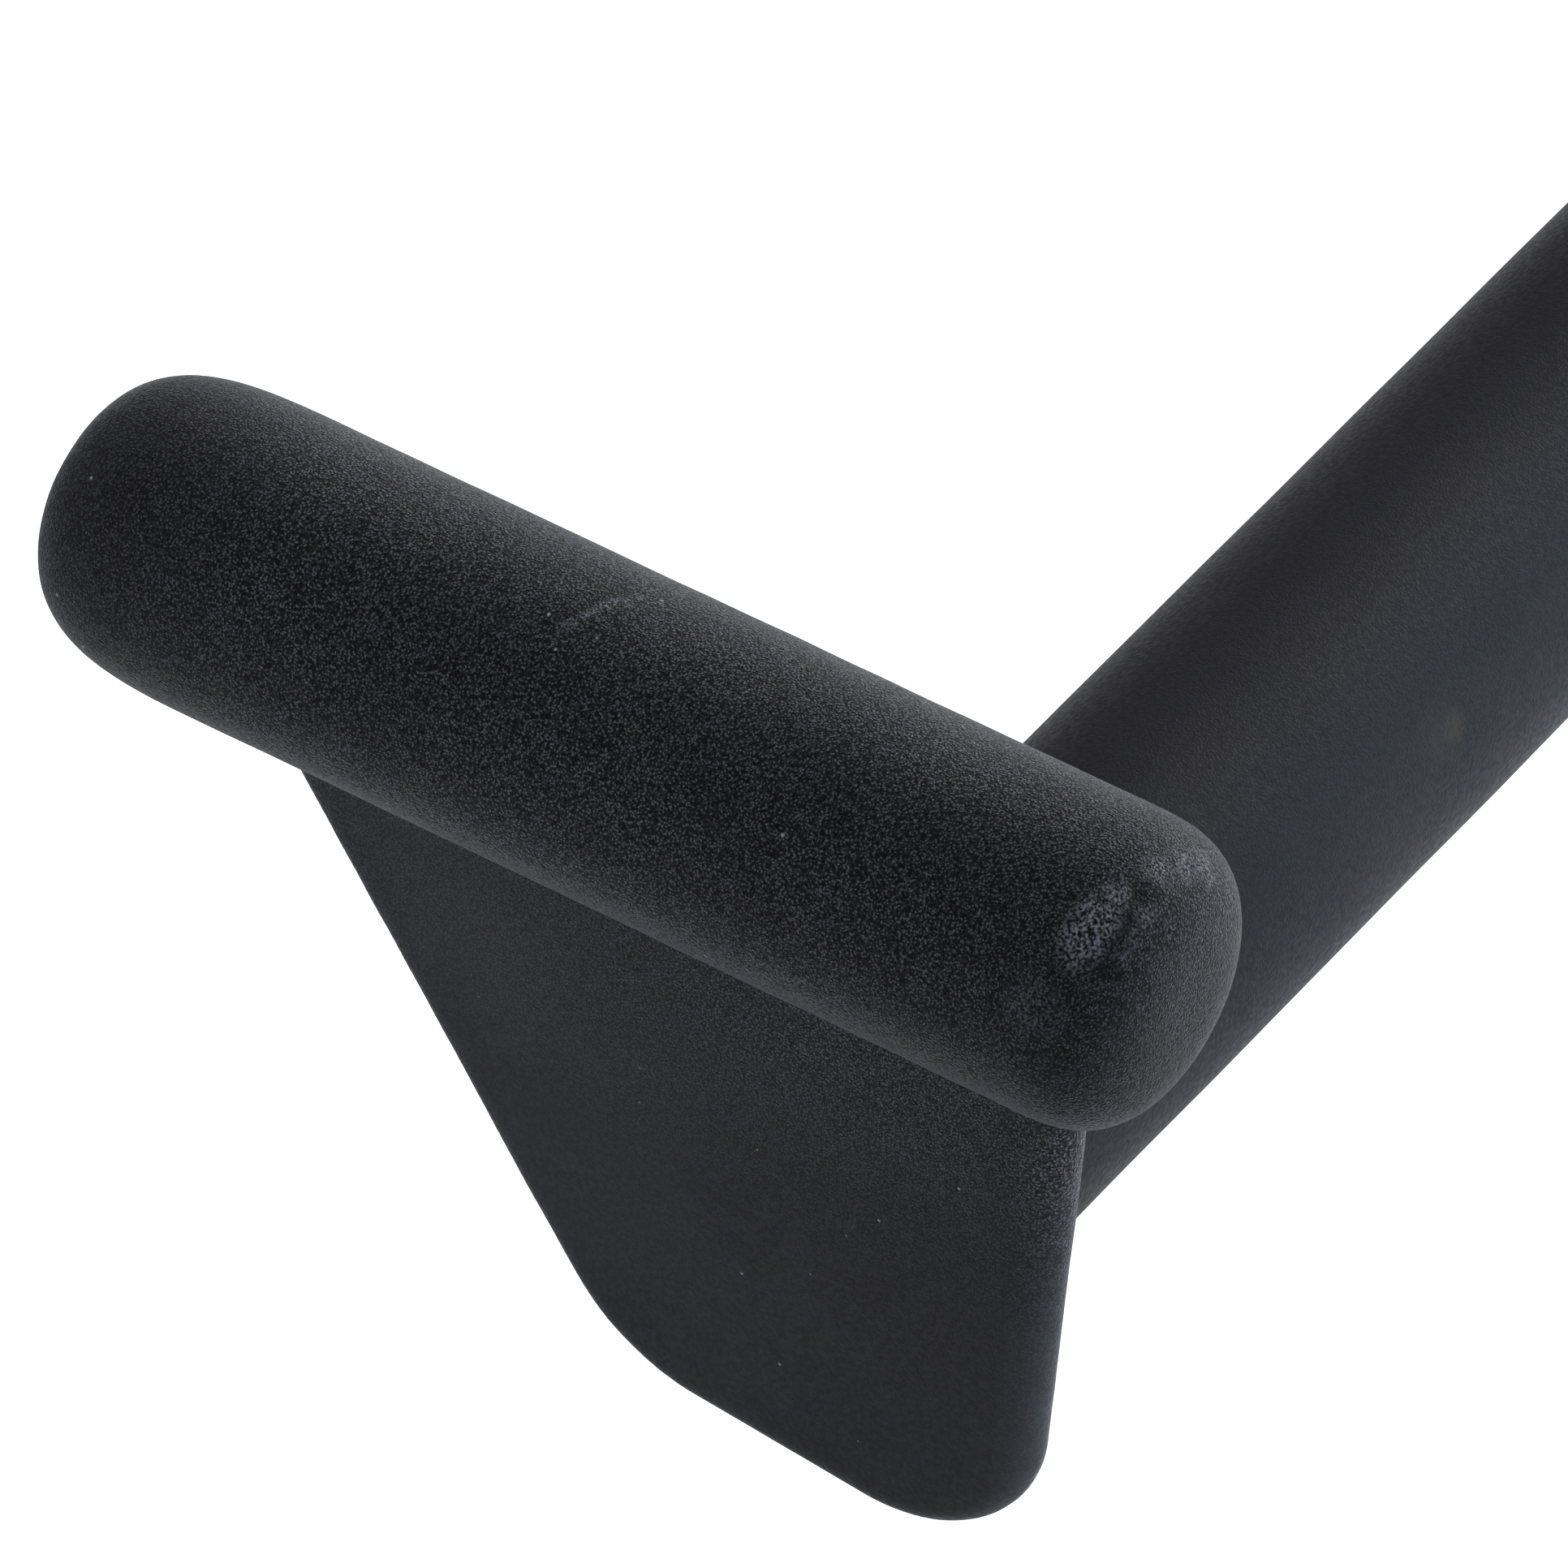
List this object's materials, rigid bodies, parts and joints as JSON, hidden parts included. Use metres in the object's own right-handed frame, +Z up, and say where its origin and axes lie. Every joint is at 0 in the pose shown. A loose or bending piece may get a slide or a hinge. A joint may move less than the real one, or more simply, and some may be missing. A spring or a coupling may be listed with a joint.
{
  "type": "pull up bar",
  "caption": "Straight rubber-coated pull-up bar for a cable, with palm-paddle finger-roll grips at its ends and a swivelling hanger eye in the middle.",
  "frame": {"origin": "centre of the hanger eye's hole, midway between the grips; the bar hangs below it", "axes": "+X along the bar from the left grip to the right grip, +Y along the finger rolls towards the slanted rear edges of the paddles, +Z up"},
  "size_m": [0.555, 0.1412, 0.1127],
  "materials": {
    "rubber_coat": "matte, fine pebbled grain",
    "frame_steel": "plain mill finish",
    "zinc_plate": "satin zinc plating",
    "bronze": "sintered, satin",
    "nylon": "matte"
  },
  "bodies": {
    "bar": {"main_tube": "frame_steel", "bar_sleeve": "rubber_coat", "left_plate": "frame_steel", "left_roll_tube": "frame_steel", "left_front_plug": "frame_steel", "left_rear_plug": "frame_steel", "left_grip_coat": "rubber_coat", "right_plate": "frame_steel", "right_roll_tube": "frame_steel", "right_front_plug": "frame_steel", "right_rear_plug": "frame_steel", "right_grip_coat": "rubber_coat", "swivel_hub": "frame_steel", "upper_bush": "bronze", "lower_bush": "bronze"},
    "hanger": {"hanger_eye": "zinc_plate", "upper_washer": "zinc_plate", "lower_washer": "zinc_plate", "lock_nut": "zinc_plate", "nut_ring": "nylon"}
  },
  "joints": [
    {"name": "hanger_swivel", "type": "hinge", "parent": "bar", "child": "hanger", "pos_m": [0, 0, 0], "axis": [0, 0, 1], "continuous": true}
  ]
}
